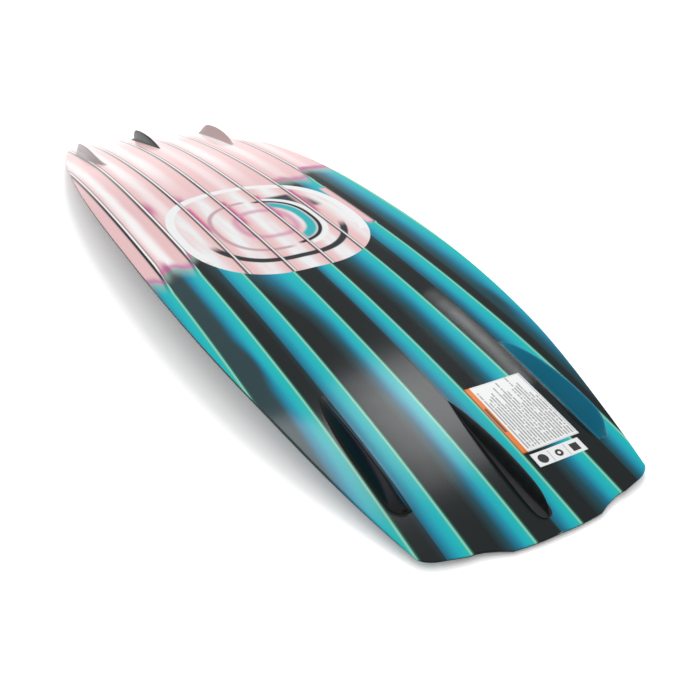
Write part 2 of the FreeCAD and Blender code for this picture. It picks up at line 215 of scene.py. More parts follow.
def mark_rim(piece, first):
    """Give the faces from the first rim face on to the second material."""
    indices = np.zeros(len(piece.data.polygons), dtype=np.int32)
    indices[first:] = 1
    piece.data.polygons.foreach_set("material_index", indices)


def thicken(piece, depth):
    """Give a skin its thickness, on the side away from its normals."""
    modifier = piece.modifiers.new("thickness", "SOLIDIFY")
    modifier.thickness = depth * MM
    modifier.offset = -1.0
    return modifier


def finish(piece, material, rim_material=None):
    """Give a piece its material and, where it has a rim, the rim's."""
    piece.data.materials.append(material)
    if rim_material is not None:
        piece.data.materials.append(rim_material)


def fin_rise(fin, x):
    """Share of a fin's full height at x."""
    x_in, x_out, _, peak, rise_power, fall_power = fin
    along = np.clip((x - x_in) / (x_out - x_in), 0.0, 1.0)
    front = np.sin(0.5 * math.pi * np.minimum(along / peak, 1.0)) ** rise_power
    back = np.clip((along - peak) / (1.0 - peak), 0.0, 1.0)
    return np.where(along < peak, front, np.sqrt(1.0 - back ** fall_power))


def fin_spread(x):
    """Share of a side fin's full width at x, which is blunt at both ends."""
    x_in, x_out = SIDE_FIN[:2]
    along = np.clip((x - x_in) / (x_out - x_in), 0.0, 1.0)
    inner = np.clip(1.0 - along / SIDE_FIN_WIDEST, 0.0, 1.0) ** SIDE_FIN_POWERS[0]
    outer = np.clip((along - SIDE_FIN_WIDEST) / (1.0 - SIDE_FIN_WIDEST), 0.0, 1.0) ** SIDE_FIN_POWERS[1]
    return np.maximum((1.0 - inner - outer) ** 0.45, 0.08)


def foot_spread(along):
    """Share of a centre fin's full foot width at a place along it."""
    outer = np.clip((along - FIN_FOOT_WIDEST) / (1.0 - FIN_FOOT_WIDEST), 0.0, 1.0)
    return np.minimum(along / FIN_FOOT_WIDEST, 1.0) ** 0.55 * np.sqrt(1.0 - outer ** 6)


TIP_BLEND_X = 630.0            # stations bend to the tip's outline beyond this
RIM_RADIUS = 0.9
BASE_SKIN = 0.6
RIM_SEAM = 1.1                 # how far the base skin reaches down the rim
RIM_THICKNESS = 2.0            # least thickness of the board at its rim
TIP_STEPS = np.array((35.0, 31.0, 27.0, 23.0, 19.0, 15.5, 12.0, 9.0, 6.5, 4.5, 3.0, 1.8, 0.9, 0.3, 0.0))


def station_x(place, y, inset):
    """x of a station on a line at y: straight across, then bent to the tip's outline."""
    stretch = (tip_x(y) - inset - TIP_BLEND_X) / (HALF_LENGTH - TIP_BLEND_X)
    return np.where(place < TIP_BLEND_X, place, TIP_BLEND_X + (place - TIP_BLEND_X) * stretch)


def settled_line(places, inset, line):
    """Points of a line along the board whose distance from the centre depends on x."""
    x = places.copy()
    for _ in range(40):
        x = 0.5 * (x + station_x(places, line(x), inset))
    return x, line(x)


def band_end(x):
    """Outer edge of the band that the side fins stand in."""
    return np.minimum(FIN_BAND[1], half_width(x) - 6.5)


def fin_section(x):
    """Distances from the centre line and lifts across the fin band, with rounded corners."""
    height = SIDE_FIN[2] * float(fin_rise(SIDE_FIN, x))
    spread = float(fin_spread(x))
    top = FIN_CREASE_Y + (SIDE_FIN_TOP_Y - FIN_CREASE_Y) * spread
    foot = FIN_CREASE_Y + (SIDE_FIN_FOOT_Y - FIN_CREASE_Y) * spread
    edge = 0.5 * SIDE_FIN_EDGE * spread
    ys = np.array((FIN_BAND[0], FIN_CREASE_Y, top - edge, top + edge, foot, float(band_end(x))))
    lifts = np.array((0.0, 0.0, height, height, 0.0, 0.0))
    along = np.concatenate(((0.0,), np.cumsum(np.hypot(np.diff(ys), np.diff(lifts)))))
    places = np.linspace(0.0, along[-1], FIN_BAND_LINES)
    ys = np.interp(places, along, ys)
    lifts = np.interp(places, along, lifts)
    for _ in range(4):
        ys[1:-1] = 0.25 * (ys[:-2] + 2.0 * ys[1:-1] + ys[2:])
        lifts[1:-1] = 0.25 * (lifts[:-2] + 2.0 * lifts[1:-1] + lifts[2:])
    return ys, lifts


def quarter_lines(places, inset, fixed, moving):
    """Grid (x, y) of a quarter of the board: lines at fixed y, then lines whose y depends on x."""
    columns = []
    for y in fixed:
        level = np.full_like(places, y)
        columns.append((station_x(places, level, inset), level))
    for line in moving:
        columns.append(settled_line(places, inset, line))
    xs = np.column_stack([column[0] for column in columns])
    ys = np.column_stack([column[1] for column in columns])
    return xs, ys


def between(first, last, share):
    """Line at a share of the way between two other lines, all given as y at x."""
    return lambda x: first(x) + (last(x) - first(x)) * share


def mirrored(quarter, x_sign, y_sign):
    """Whole-board grid from a quarter; a sign of -1 turns the value over on that half."""
    half = np.concatenate((y_sign * quarter[:, :0:-1], quarter), axis=1)
    return np.concatenate((x_sign * half[:0:-1], half), axis=0)


def rim_loop(rows, columns):
    """Grid indices round the outside, once."""
    first = list(range(columns))
    right = [row * columns + columns - 1 for row in range(1, rows)]
    last = [(rows - 1) * columns + column for column in range(columns - 2, -1, -1)]
    left = [row * columns for row in range(rows - 2, 0, -1)]
    return first + right + last + left


def rolled_rim(points, loop, profile):
    """Points of rings outside a loop; profile holds (outward, down) steps from the loop."""
    edge = points[loop]
    tangent = np.roll(edge, -1, axis=0)[:, :2] - np.roll(edge, 1, axis=0)[:, :2]
    tangent /= np.linalg.norm(tangent, axis=1)[:, None]
    outward = np.column_stack((tangent[:, 1], -tangent[:, 0]))
    if np.sum(outward * edge[:, :2]) < 0.0:
        outward = -outward
    rings = []
    for out, down in profile:
        shifted = edge.copy()
        shifted[:, :2] += outward * out
        shifted[:, 2] -= down
        rings.append(shifted)
    return rings


def ring_faces(loop, first, count):
    """Quads between a loop of grid points and the rings that follow from index first."""
    faces = []
    size = len(loop)
    previous = list(loop)
    for ring in range(count):
        current = [first + ring * size + place for place in range(size)]
        for place in range(size):
            after = (place + 1) % size
            faces.append((previous[place], previous[after], current[after], current[place]))
        previous = current
    return faces


def base_lines():
    """Lines of the base outside the fixed ones: the fin band, then out to the chine and the rail."""
    start = lambda x: np.full_like(x, FIN_BAND[0])
    rail = lambda x: half_width(x) - RIM_RADIUS
    chine = lambda x: np.maximum(chine_y(x), band_end(x) + 0.35 * (rail(x) - band_end(x)))
    lines = [between(start, band_end, share) for share in np.linspace(0.0, 1.0, FIN_BAND_LINES)]
    lines += [between(band_end, chine, share) for share in np.linspace(0.0, 1.0, 8)[1:]]
    lines += [between(chine, rail, share) for share in np.linspace(0.0, 1.0, 12)[1:]]
    return lines


def base_skin():
    """The printed running base with its four moulded fins and its rolled rim."""
    places = np.concatenate((
        np.arange(0.0, 420.0, 7.0),
        np.arange(420.0, 426.0, 2.0),
        np.arange(426.0, 438.0, 0.75),
        np.arange(438.0, 600.0, 2.5),
        np.arange(600.0, 615.0, 0.6),
        np.arange(615.0, 660.0, 3.0),
        HALF_LENGTH - TIP_STEPS,
    ))
    fixed = np.concatenate((np.arange(0.0, 52.0, 4.0), np.arange(52.0, FIN_BAND[0] - 1.0, 2.0)))
    xs, ys = quarter_lines(places, RIM_RADIUS, fixed, base_lines())
    lifts = np.zeros_like(xs)
    band = slice(len(fixed), len(fixed) + FIN_BAND_LINES)
    for row, place in enumerate(places):
        if SIDE_FIN[0] < place < SIDE_FIN[1]:
            ys[row, band], lifts[row, band] = fin_section(place)
    x = mirrored(xs, -1.0, 1.0)
    y = mirrored(ys, 1.0, -1.0)
    z = base_z(x, y) + mirrored(lifts, 1.0, 1.0)
    rows, columns = x.shape
    points = np.column_stack((x.ravel(), y.ravel(), z.ravel()))
    faces = grid_faces(rows, columns, flip=True)
    loop = rim_loop(rows, columns)
    turns = np.radians((22.5, 45.0, 67.5, 90.0))
    profile = [(RIM_RADIUS * math.sin(turn), RIM_RADIUS * (1.0 - math.cos(turn))) for turn in turns]
    profile.append((RIM_RADIUS, RIM_SEAM))
    rings = rolled_rim(points, loop, profile)
    faces += ring_faces(loop, len(points), len(rings))
    points = np.concatenate([points] + rings)
    piece = mesh_piece("printed_base", points, faces, ("base_sheet",))
    lift = np.zeros(len(points))
    lift[:x.size] = mirrored(lifts, 1.0, 1.0).ravel()
    piece.data.attributes.new("fin_lift", "FLOAT", "POINT").data.foreach_set("value", lift)
    thicken(piece, BASE_SKIN)
    return piece


def rim_distance(x, y):
    """Distance in from the outline, rounded where the rail meets the tip."""
    from_rail = half_width(x) - np.abs(y)
    from_tip = tip_x(y) - np.abs(x)
    return -soft_max(-from_rail, -from_tip, 3.0) - 0.6


def deck_depth(x, y):
    """Depth of the deck under the base."""
    inside = np.clip(rim_distance(x, y) / EDGE_TAPER, 0.0, 1.0)
    fullness = RIM_SHARE + (1.0 - RIM_SHARE) * np.sqrt(1.0 - (1.0 - inside) ** 2)
    return np.maximum(thickness(x) * fullness, RIM_THICKNESS)


def insert_centres():
    """Places of the nose's binding inserts on the deck, from their CAD box."""
    low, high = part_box("nose_binding_inserts")
    first = 0.5 * (low[0] + high[0]) / MM - 0.5 * ROW_PITCH * (ROWS - 1)
    return [first + ROW_PITCH * row for row in range(ROWS)]


def deck_skin():
    """The deck with the holes of its binding inserts and its rim, which meets the base's."""
    centres = insert_centres()
    cells = np.ravel([(x - INSERT_CELL, x + INSERT_CELL) for x in centres])
    places = np.concatenate((
        np.linspace(0.0, cells[0] - 9.0, 26),
        cells,
        np.linspace(cells[-1] + 9.0, 656.0, 38),
        HALF_LENGTH - TIP_STEPS,
    ))
    fixed = np.concatenate((
        np.arange(0.0, 64.0, 7.0),
        (COLUMN_Y - INSERT_CELL, COLUMN_Y + INSERT_CELL, 92.0, 100.0, 108.0, FIN_BAND[0]),
    ))
    start = lambda x: np.full_like(x, FIN_BAND[0])
    shoulder = lambda x: np.maximum(half_width(x) - EDGE_TAPER, FIN_BAND[0] + 3.0)
    rail = lambda x: half_width(x) - RIM_RADIUS
    lines = [between(start, shoulder, share) for share in np.linspace(0.0, 1.0, 8)[1:]]
    lines += [between(shoulder, rail, 1.0 - (1.0 - share) ** 1.8) for share in np.linspace(0.0, 1.0, 12)[1:]]
    xs, ys = quarter_lines(places, RIM_RADIUS, fixed, lines)
    x = mirrored(xs, -1.0, 1.0)
    y = mirrored(ys, 1.0, -1.0)
    z = base_z(x, y) - deck_depth(x, y)
    rows, columns = x.shape
    points = np.column_stack((x.ravel(), y.ravel(), z.ravel()))
    faces = grid_faces(rows, columns)
    faces, hole_points = cut_insert_holes(faces, points, centres)
    points = np.concatenate((points, hole_points))
    loop = rim_loop(rows, columns)
    edge = points[loop]
    up = deck_depth(edge[:, 0], edge[:, 1]) - RIM_SEAM - 0.05
    turns = np.radians((30.0, 60.0, 90.0))
    profile = [(RIM_RADIUS * math.sin(turn), -0.6 * up * (1.0 - math.cos(turn))) for turn in turns]
    profile.append((RIM_RADIUS, -up))
    rings = rolled_rim(points, loop, profile)
    first_rim_face = len(faces)
    faces += [face[::-1] for face in ring_faces(loop, len(points), len(rings))]
    points = np.concatenate([points] + rings)
    piece = mesh_piece("printed_deck", points, faces, ("deck_sheet",))
    mark_rim(piece, first_rim_face)
    thicken(piece, BASE_SKIN)
    return piece


def cut_insert_holes(faces, points, centres):
    """Replace the square round each binding insert by a fan of faces about a round hole."""
    first = len(points)
    hole_points = []
    wanted = {(round(float(x_sign * x), 1), round(y_sign * COLUMN_Y, 1))
              for x in centres for x_sign in (-1, 1) for y_sign in (-1, 1)}
    kept = []
    for face in faces:
        corners = points[list(face)]
        middle = corners.mean(axis=0)
        key = (round(float(middle[0]), 1), round(float(middle[1]), 1))
        size = corners.max(axis=0) - corners.min(axis=0)
        if key not in wanted or np.abs(size[:2] - 2.0 * INSERT_CELL).max() > 0.1:
            kept.append(face)
            continue
        ring = []
        for turn in range(INSERT_HOLE_STEPS):
            angle = 2.0 * math.pi * (turn + 0.5) / INSERT_HOLE_STEPS
            x = middle[0] + INSERT_HOLE_R * math.cos(angle)
            y = middle[1] + INSERT_HOLE_R * math.sin(angle)
            ring.append(first + len(hole_points))
            hole_points.append((x, y, float(base_z(x, y) - deck_depth(x, y))))
        kept += hole_fan(face, ring, points, middle)
    return kept, np.array(hole_points)


def hole_fan(face, ring, points, middle):
    """Faces between a square's four corners and the ring of a hole in it."""
    def heading(index):
        offset = points[index] - middle
        return math.atan2(offset[1], offset[0]) % (2.0 * math.pi)
    corners = sorted(face, key=heading)
    quarter = len(ring) // 4
    made = []
    for side, corner in enumerate(corners):
        after = corners[(side + 1) % 4]
        start = side * quarter
        for step in range(quarter - 1):
            one = ring[(start + step) % len(ring)]
            two = ring[(start + step + 1) % len(ring)]
            made.append((corner, two, one))
        last = ring[(start + quarter - 1) % len(ring)]
        following = ring[(start + quarter) % len(ring)]
        made.append((corner, after, following, last))
    return made


def centre_fin(name, end_sign, node):
    """Black bolt-on fin on the centre line: a foil blade with a rounded edge and a flared foot."""
    x_in, x_out, height = CENTRE_FIN[:3]
    turns = np.linspace(0.0, 1.0, 60)
    along = 0.5 * (1.0 - np.cos(math.pi * turns)) * 0.6 + 0.4 * turns
    xs = x_in + (x_out - x_in) * along
    above_foot = np.sin(0.5 * math.pi * np.linspace(0.0, 1.0, 13)[1:])
    up = np.concatenate((
        FIN_FOOT_LIFT * np.linspace(0.0, 1.0, 8),
        FIN_FOOT_LIFT + (1.0 - FIN_FOOT_LIFT) * above_foot,
    ))
    flare = np.clip(1.0 - up / FIN_FOOT_LIFT, 0.0, 1.0) ** 1.6
    points = []
    for x, share in zip(xs, along):
        top = max(height * float(fin_rise(CENTRE_FIN, x)), 0.25)
        half = max(0.5 * FIN_WIDTH * (1.0 - abs(2.0 * share - 1.0) ** 3), 0.15)
        foot_half = max(0.5 * FIN_FOOT_WIDTH * float(foot_spread(share)), half + 0.1)
        widths = half * (1.0 - 0.62 * up ** 1.5) * np.sqrt(1.0 - up ** 12) + (foot_half - half) * flare
        lowest = float(base_z(x, foot_half)) + 0.02
        middle = float(base_z(x, 0.0)) + 0.02
        levels = np.maximum(middle + top * up, lowest + (middle - lowest) * np.minimum(up / FIN_FOOT_LIFT, 1.0))
        levels[0] = lowest
        left = [(end_sign * x, -width, level) for width, level in zip(widths, levels)]
        right = [(end_sign * x, width, level) for width, level in zip(widths[-2::-1], levels[-2::-1])]
        points += left + right + [(end_sign * x, 0.0, middle)]
    columns = 2 * len(up)
    faces = grid_faces(len(xs), columns, flip=end_sign < 0, wrap=True)
    first = tuple(range(columns))
    last = tuple(range((len(xs) - 1) * columns, len(xs) * columns))
    faces += [first[::-1], last] if end_sign > 0 else [first, last[::-1]]
    return mesh_piece(name, points, faces, (node,), smooth_angle=50.0)


def label(name, node, turn_degrees):
    """Thin printed label that follows the base, from its CAD box."""
    low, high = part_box(node)
    centre = np.array((0.5 * (low[0] + high[0]), 0.5 * (low[1] + high[1]))) / MM
    half = np.array((0.5 * (high[0] - low[0]), 0.5 * (high[1] - low[1]))) / MM
    turn = math.radians(turn_degrees)
    across = np.linspace(-1.0, 1.0, LABEL_POINTS)
    us, vs = np.meshgrid(across * half[0], across * half[1], indexing="ij")
    x = centre[0] + us * math.cos(turn) - vs * math.sin(turn)
    y = centre[1] + us * math.sin(turn) + vs * math.cos(turn)
    z = base_z(x, y) + LABEL_LIFT
    points = np.column_stack((x.ravel(), y.ravel(), z.ravel()))
    faces = grid_faces(LABEL_POINTS, LABEL_POINTS, flip=True)
    piece = mesh_piece(name, points, faces, (node,))
    thicken(piece, LABEL_THICKNESS)
    return piece


# ---------------------------------------------------------------- paint and node arithmetic
LIGHT = 1.30                   # diffuse light that falls on the board
GLOSS = 0.024                  # light that the lacquer adds everywhere


def paint(red, green, blue):
    """Paint that shows as the given screen colour (0 to 255) under the studio's light."""
    shown = np.array((red, green, blue)) / 255.0
    linear = np.where(shown <= 0.04045, shown / 12.92, ((shown + 0.055) / 1.055) ** 2.4)
    return tuple(float(part) for part in np.clip((linear - GLOSS) / LIGHT, 0.002, 0.9)) + (1.0,)


def feed(tree, place, value):
    """Put a number, a colour or a field into a node's socket."""
    if isinstance(value, Field):
        tree.links.new(value.socket, place)
    else:
        place.default_value = value


class Field:
    """A number that varies over a surface: a socket of a node tree, with ordinary arithmetic."""

    def __init__(self, tree, socket):
        self.tree = tree
        self.socket = socket

    def math(self, operation, *others):
        node = self.tree.nodes.new("ShaderNodeMath")
        node.operation = operation
        for place, value in zip(node.inputs, (self,) + others):
            feed(self.tree, place, value)
        return Field(self.tree, node.outputs[0])

    def __add__(self, other):
        return self.math("ADD", other)

    def __sub__(self, other):
        return self.math("SUBTRACT", other)

    def __rsub__(self, other):
        return self * -1.0 + other

    def __mul__(self, other):
        return self.math("MULTIPLY", other)

    def __truediv__(self, other):
        return self.math("DIVIDE", other)

    def __pow__(self, other):
        return self.math("POWER", other)

    def size(self):
        return self.math("ABSOLUTE")

    def whole(self):
        return self.math("FLOOR")

    def most(self, other):
        return self.math("MAXIMUM", other)

    def least(self, other):
        return self.math("MINIMUM", other)

    def above(self, other):
        return self.math("GREATER_THAN", other)

    def opposite(self):
        return 1.0 - self

    def eased(self, start, end):
        """0 before start, 1 after end and a smooth rise between."""
        node = self.tree.nodes.new("ShaderNodeMapRange")
        node.interpolation_type = "SMOOTHSTEP"
        for index, value in enumerate((self, start, end, 0.0, 1.0)):
            feed(self.tree, node.inputs[index], value)
        return Field(self.tree, node.outputs[0])

    def bump(self, centre, reach, flat=0.0):
        """1 at centre, 0 beyond reach from it."""
        return (self - centre).size().eased(flat, reach).opposite()


def new_material(name):
    material = bpy.data.materials.new(name)
    material.use_nodes = True
    tree = material.node_tree
    return material, tree, tree.nodes["Principled BSDF"]


def coordinates(tree):
    """Place on the board along x, y and z, in mm."""
    split = tree.nodes.new("ShaderNodeSeparateXYZ")
    tree.links.new(tree.nodes.new("ShaderNodeTexCoord").outputs["Object"], split.inputs[0])
    return [Field(tree, place) * 1000.0 for place in split.outputs]


def noise(tree, x, y, z=0.0, detail=2.0, roughness=0.5):
    """Smooth noise about 0, between -0.5 and 0.5, whose grains are about 1 wide."""
    join = tree.nodes.new("ShaderNodeCombineXYZ")
    for place, value in zip(join.inputs, (x, y, z)):
        feed(tree, place, value)
    node = tree.nodes.new("ShaderNodeTexNoise")
    tree.links.new(join.outputs[0], node.inputs["Vector"])
    node.inputs["Scale"].default_value = 1.0
    node.inputs["Detail"].default_value = detail
    node.inputs["Roughness"].default_value = roughness
    return Field(tree, node.outputs["Fac"]) - 0.5


def mixed(tree, base, over, mask):
    """One colour over another where the mask is 1."""
    node = tree.nodes.new("ShaderNodeMix")
    node.data_type = "RGBA"
    feed(tree, node.inputs[0], mask)
    feed(tree, node.inputs[6], base)
    feed(tree, node.inputs[7], over)
    return Field(tree, node.outputs[2])


def ramp(tree, field, stops):
    """Colours along a field, from (place, colour) pairs."""
    node = tree.nodes.new("ShaderNodeValToRGB")
    feed(tree, node.inputs[0], field)
    elements = node.color_ramp.elements
    elements[0].position, elements[0].color = stops[0]
    elements[1].position, elements[1].color = stops[-1]
    for place, colour in stops[1:-1]:
        elements.new(place).color = colour
    return Field(tree, node.outputs[0])


def stepped(above, values):
    """values[0] before the first step, values[1] after it, and so on."""
    total = None
    for step, before, after in zip(above, values, values[1:]):
        rise = step * (after - before)
        total = rise + before if total is None else total + rise
    return total


def relief(tree, shader, height, depth):
    """Surface relief from a height field, with its depth in mm."""
    node = tree.nodes.new("ShaderNodeBump")
    node.inputs["Strength"].default_value = 1.0
    node.inputs["Distance"].default_value = depth * MM
    tree.links.new(height.socket, node.inputs["Height"])
    tree.links.new(node.outputs["Normal"], shader.inputs["Normal"])


# ---------------------------------------------------------------- printed base
PANEL_CENTRE = (5.0, 1.0)
PANEL_HALF = (166.0, 142.5)
PANEL_POWER = 2.5              # 2 is an ellipse, more is squarer
TEAL_REACH = 42.0              # width over which teal fades to black
LEFT_ROUGHNESS, RIGHT_ROUGHNESS = 0.15, 0.075

# One value per crease, or one per strip between them, from the left rail to the right one
CREASES = (-198.0, -148.3, -97.0, -33.1, 23.8, 90.1, 151.8)          # thin green lines
CREASE_DRIFTS = (0.0, 1.6, 0.2, 1.9, 2.4, 2.4, 3.5)                  # how far they move by the nose
PALE_LINES = (-193.2, -143.3, -87.8, -29.2, 29.5, 90.2, 158.3)       # thin white lines
PALE_DRIFTS = (1.0, 2.6, -1.0, 2.4, 2.4, -1.8, -1.2)                 # how far they move by the tail
FADES = (1.0, 1.0, 1.0, 0.85, 0.95, 1.02, 1.05, 1.3)                 # how far teal reaches in a strip
FADES_BY_PANEL = (0.0, 0.0, 0.3, 1.0, 0.0, 0.3, 0.25, 0.0)           # how much further by the panel
FADE_CUTS = (-300.0, -172.3, -122.0, -300.0, 0.0, -300.0, 121.0, 168.5)    # y that teal stops at
CUT_DEPTHS = (0.0, 0.03, 0.28, 0.0, 0.3, 0.0, 0.27, 0.12)            # how much darker it is beyond
DARKEST = (1.0, 0.72, 1.0, 1.0, 1.0, 1.0, 1.0, 1.0)                  # how near to black teal gets
PINK_ENDS = (112.0, 90.0, 60.0, 60.0, 60.0, 60.0, -150.0, -190.0)    # x where pink turns to teal
GLOWS = (-240.0, -177.0, -119.0, -68.0, 3.0, 51.0, 116.0, 177.0)     # middles of white glows
GLOW_REACH = (6.0, 15.0, 17.0, 20.0, 16.0, 19.0, 17.0, 15.0)
GLOW_STRENGTH = (0.0, 1.0, 0.95, 0.9, 0.5, 0.95, 0.75, 0.7)
GLOW_KEPT = (0.0, 0.9, 0.55, 0.1, 0.8, 0.15, 0.4, 0.3)               # share of it left by the panel
EDGE_INK = (1.0, 0.9, 1.0, 1.0, 0.8, 0.65, 0.65, 0.0)                # dark edge before a white line
EDGE_GREY = (0.0, 0.8, 0.9, 0.9, 0.95, 0.95, 0.9, 0.95)              # grey edge after a white line

TEAL_FADE = (
    (0.0, paint(50, 190, 180)),
    (0.10, paint(46, 186, 192)),
    (0.24, paint(44, 176, 190)),
    (0.38, paint(43, 147, 174)),
    (0.52, paint(43, 112, 138)),
    (0.66, paint(46, 86, 97)),
    (0.83, paint(49, 66, 70)),
    (1.0, paint(46, 50, 51)),
)


def base_print():
    """Airbrushed stripes, black to teal at the nose and pink at the tail, round a plain oval panel."""
    material, tree, shader = new_material("base_print")
    x, y, z = coordinates(tree)
    drift = noise(tree, x / 95.0, y / 16.0, detail=1.0)
    grain = noise(tree, x / 1.1, y / 0.9, detail=1.0)

    from_middle = [(part - middle).size() / half for part, middle, half in zip((x, y), PANEL_CENTRE, PANEL_HALF)]
    oval = (from_middle[0] ** PANEL_POWER + from_middle[1] ** PANEL_POWER) ** (1.0 / PANEL_POWER)
    panel = oval.eased(0.996, 1.004).opposite()

    order = [y.above(0.5 * (one + two)) for one, two in zip(CREASES, PALE_LINES)]
    slow = noise(tree, x / 130.0, y / 30.0, detail=1.0)
    teal = (x + slow * 46.0 - stepped(order, PINK_ENDS)).eased(-34.0, 34.0)
    gap = y.above(141.0) * order[6].opposite() * x.eased(-98.0, -86.0) * x.eased(66.0, 80.0).opposite()
    teal = teal * gap.opposite()
    pale = teal.opposite().most(panel)

    by_nose, by_tail = x.eased(300.0, 600.0), x.eased(-120.0, -460.0)
    lines = []
    for green, green_drift, white, white_drift in zip(CREASES, CREASE_DRIFTS, PALE_LINES, PALE_DRIFTS):
        teal_line = by_nose * green_drift + green
        lines.append(pale * (by_tail * white_drift + white - teal_line) + teal_line)
    above = [y.above(line) for line in lines]
    since = y - stepped(above, [-224.0] + lines)
    until = stepped(above, lines + [214.0]) - y
    thin = since.least(until).eased(0.7, 1.9).opposite()

    # black to teal
    grown = x.eased(110.0, 320.0).opposite() * stepped(above, FADES_BY_PANEL) + stepped(above, FADES)
    dark_patch = x.bump(342.0, 62.0) * y.bump(-172.0, 16.0) + x.bump(350.0, 60.0) * y.bump(182.0, 12.0)
    beyond = (y - stepped(above, FADE_CUTS)).eased(0.8, -0.8)
    depth = (until - 1.5 + drift * 5.0 + dark_patch * 9.0) / (grown * TEAL_REACH)
    depth = (depth + beyond * stepped(above, CUT_DEPTHS)).least(stepped(above, DARKEST))
    colour = ramp(tree, depth, TEAL_FADE)
    # painted sheen: grey laid over the dark part of the outer left strip
    left_strip = above[0] * above[1].opposite()
    colour = mixed(tree, colour, paint(66, 72, 68), left_strip * depth.eased(0.45, 0.7) * 0.5)
    colour = mixed(tree, colour, paint(52, 118, 96), since.eased(1.4, 4.2).opposite())
    colour = mixed(tree, colour, paint(140, 206, 188), thin)

    # pink with white glows
    pink = mixed(tree, paint(253, 214, 214), paint(233, 193, 195), x.eased(-560.0, -110.0))
    pink = mixed(tree, pink, paint(206, 183, 184), until.eased(3.0, 11.0).opposite() * 0.55)
    kept = stepped(above, GLOW_KEPT)
    reach = x.eased(-430.0, -150.0).opposite() * (kept * -1.0 + 1.0) + kept
    glow = ((y + drift * 8.0 - stepped(above, GLOWS)).size() / stepped(above, GLOW_REACH)).eased(0.12, 1.0)
    glow = glow.opposite() * stepped(above, GLOW_STRENGTH) * reach
    pink = mixed(tree, pink, paint(251, 250, 250), glow)
    blush = x.bump(-138.0, 52.0) * (y.bump(-139.0, 15.0) + y.bump(-82.0, 13.0))
    blush = blush + x.bump(92.0, 52.0, 14.0) * y.bump(-182.5, 7.0, 1.5)
    blush = blush + x.bump(-202.0, 16.0) * y.eased(156.0, 164.0)
    pink = mixed(tree, pink, paint(196, 100, 148), (blush + drift * 0.4 * blush) * 0.85)
    grey_edge = stepped(above, EDGE_GREY) * since.eased(1.4, 4.6).opposite()
    pink = mixed(tree, pink, paint(66, 56, 60), grey_edge)
    ink = stepped(above, EDGE_INK) * until.eased(4.4, 7.0).opposite() * (x.eased(-640.0, -60.0) * 0.5 + 0.5)
    pink = mixed(tree, pink, paint(48, 28, 32), ink)
    pink = mixed(tree, pink, paint(246, 247, 247), since.least(until).eased(0.9, 2.1).opposite())

    # where the two meet
    colour = mixed(tree, pink, colour, teal)
    colour = mixed(tree, colour, paint(70, 186, 156), teal.bump(0.66, 0.34) * 0.35)
    colour = mixed(tree, colour, paint(196, 96, 160), teal.bump(0.30, 0.30) * 0.6)
    colour = mixed(tree, colour, oval_panel(tree, x, y, oval, since, until, thin, drift), panel)

    colour = mixed(tree, colour, paint(0, 0, 0), grain.eased(0.05, 0.45) * 0.05)
    # painted shade on the moulded side fins
    colour = mixed(tree, colour, *fin_painted_shade(tree, x, y))
    tree.links.new(colour.socket, shader.inputs["Base Color"])
    uneven = noise(tree, x / 30.0, y / 30.0, detail=3.0) * 0.04
    rough = uneven + LEFT_ROUGHNESS - y.eased(0.0, 50.0) * (LEFT_ROUGHNESS - RIGHT_ROUGHNESS)
    tree.links.new(rough.socket, shader.inputs["Roughness"])
    shader.inputs["Specular IOR Level"].default_value = 0.15
    relief(tree, shader, noise(tree, x / 3.2, y / 2.6, z / 3.0, detail=1.0), 0.0035)
    return material


def fin_painted_shade(tree, x, y):
    """Painted shade on the moulded side fins, a darker colour for each fin by the side it faces, and how much of
    it shows.
    """
    attribute = tree.nodes.new("ShaderNodeAttribute")
    attribute.attribute_name = "fin_lift"
    lift = Field(tree, attribute.outputs["Fac"])
    # painted shade and reflection: the left nose fin is near black by its foot and dark teal higher up, and the
    # other fins get darker or lighter copies of the print by the side they face
    left = mixed(tree, paint(22, 24, 25), paint(17, 47, 52), lift.eased(5.0, 11.0))
    nose = mixed(tree, left, paint(30, 120, 148), y.above(0.0))
    tail = mixed(tree, paint(176, 165, 165), paint(190, 163, 163), y.above(0.0))
    return mixed(tree, tail, nose, x.above(0.0)), lift.eased(0.05, 0.6) * 0.9


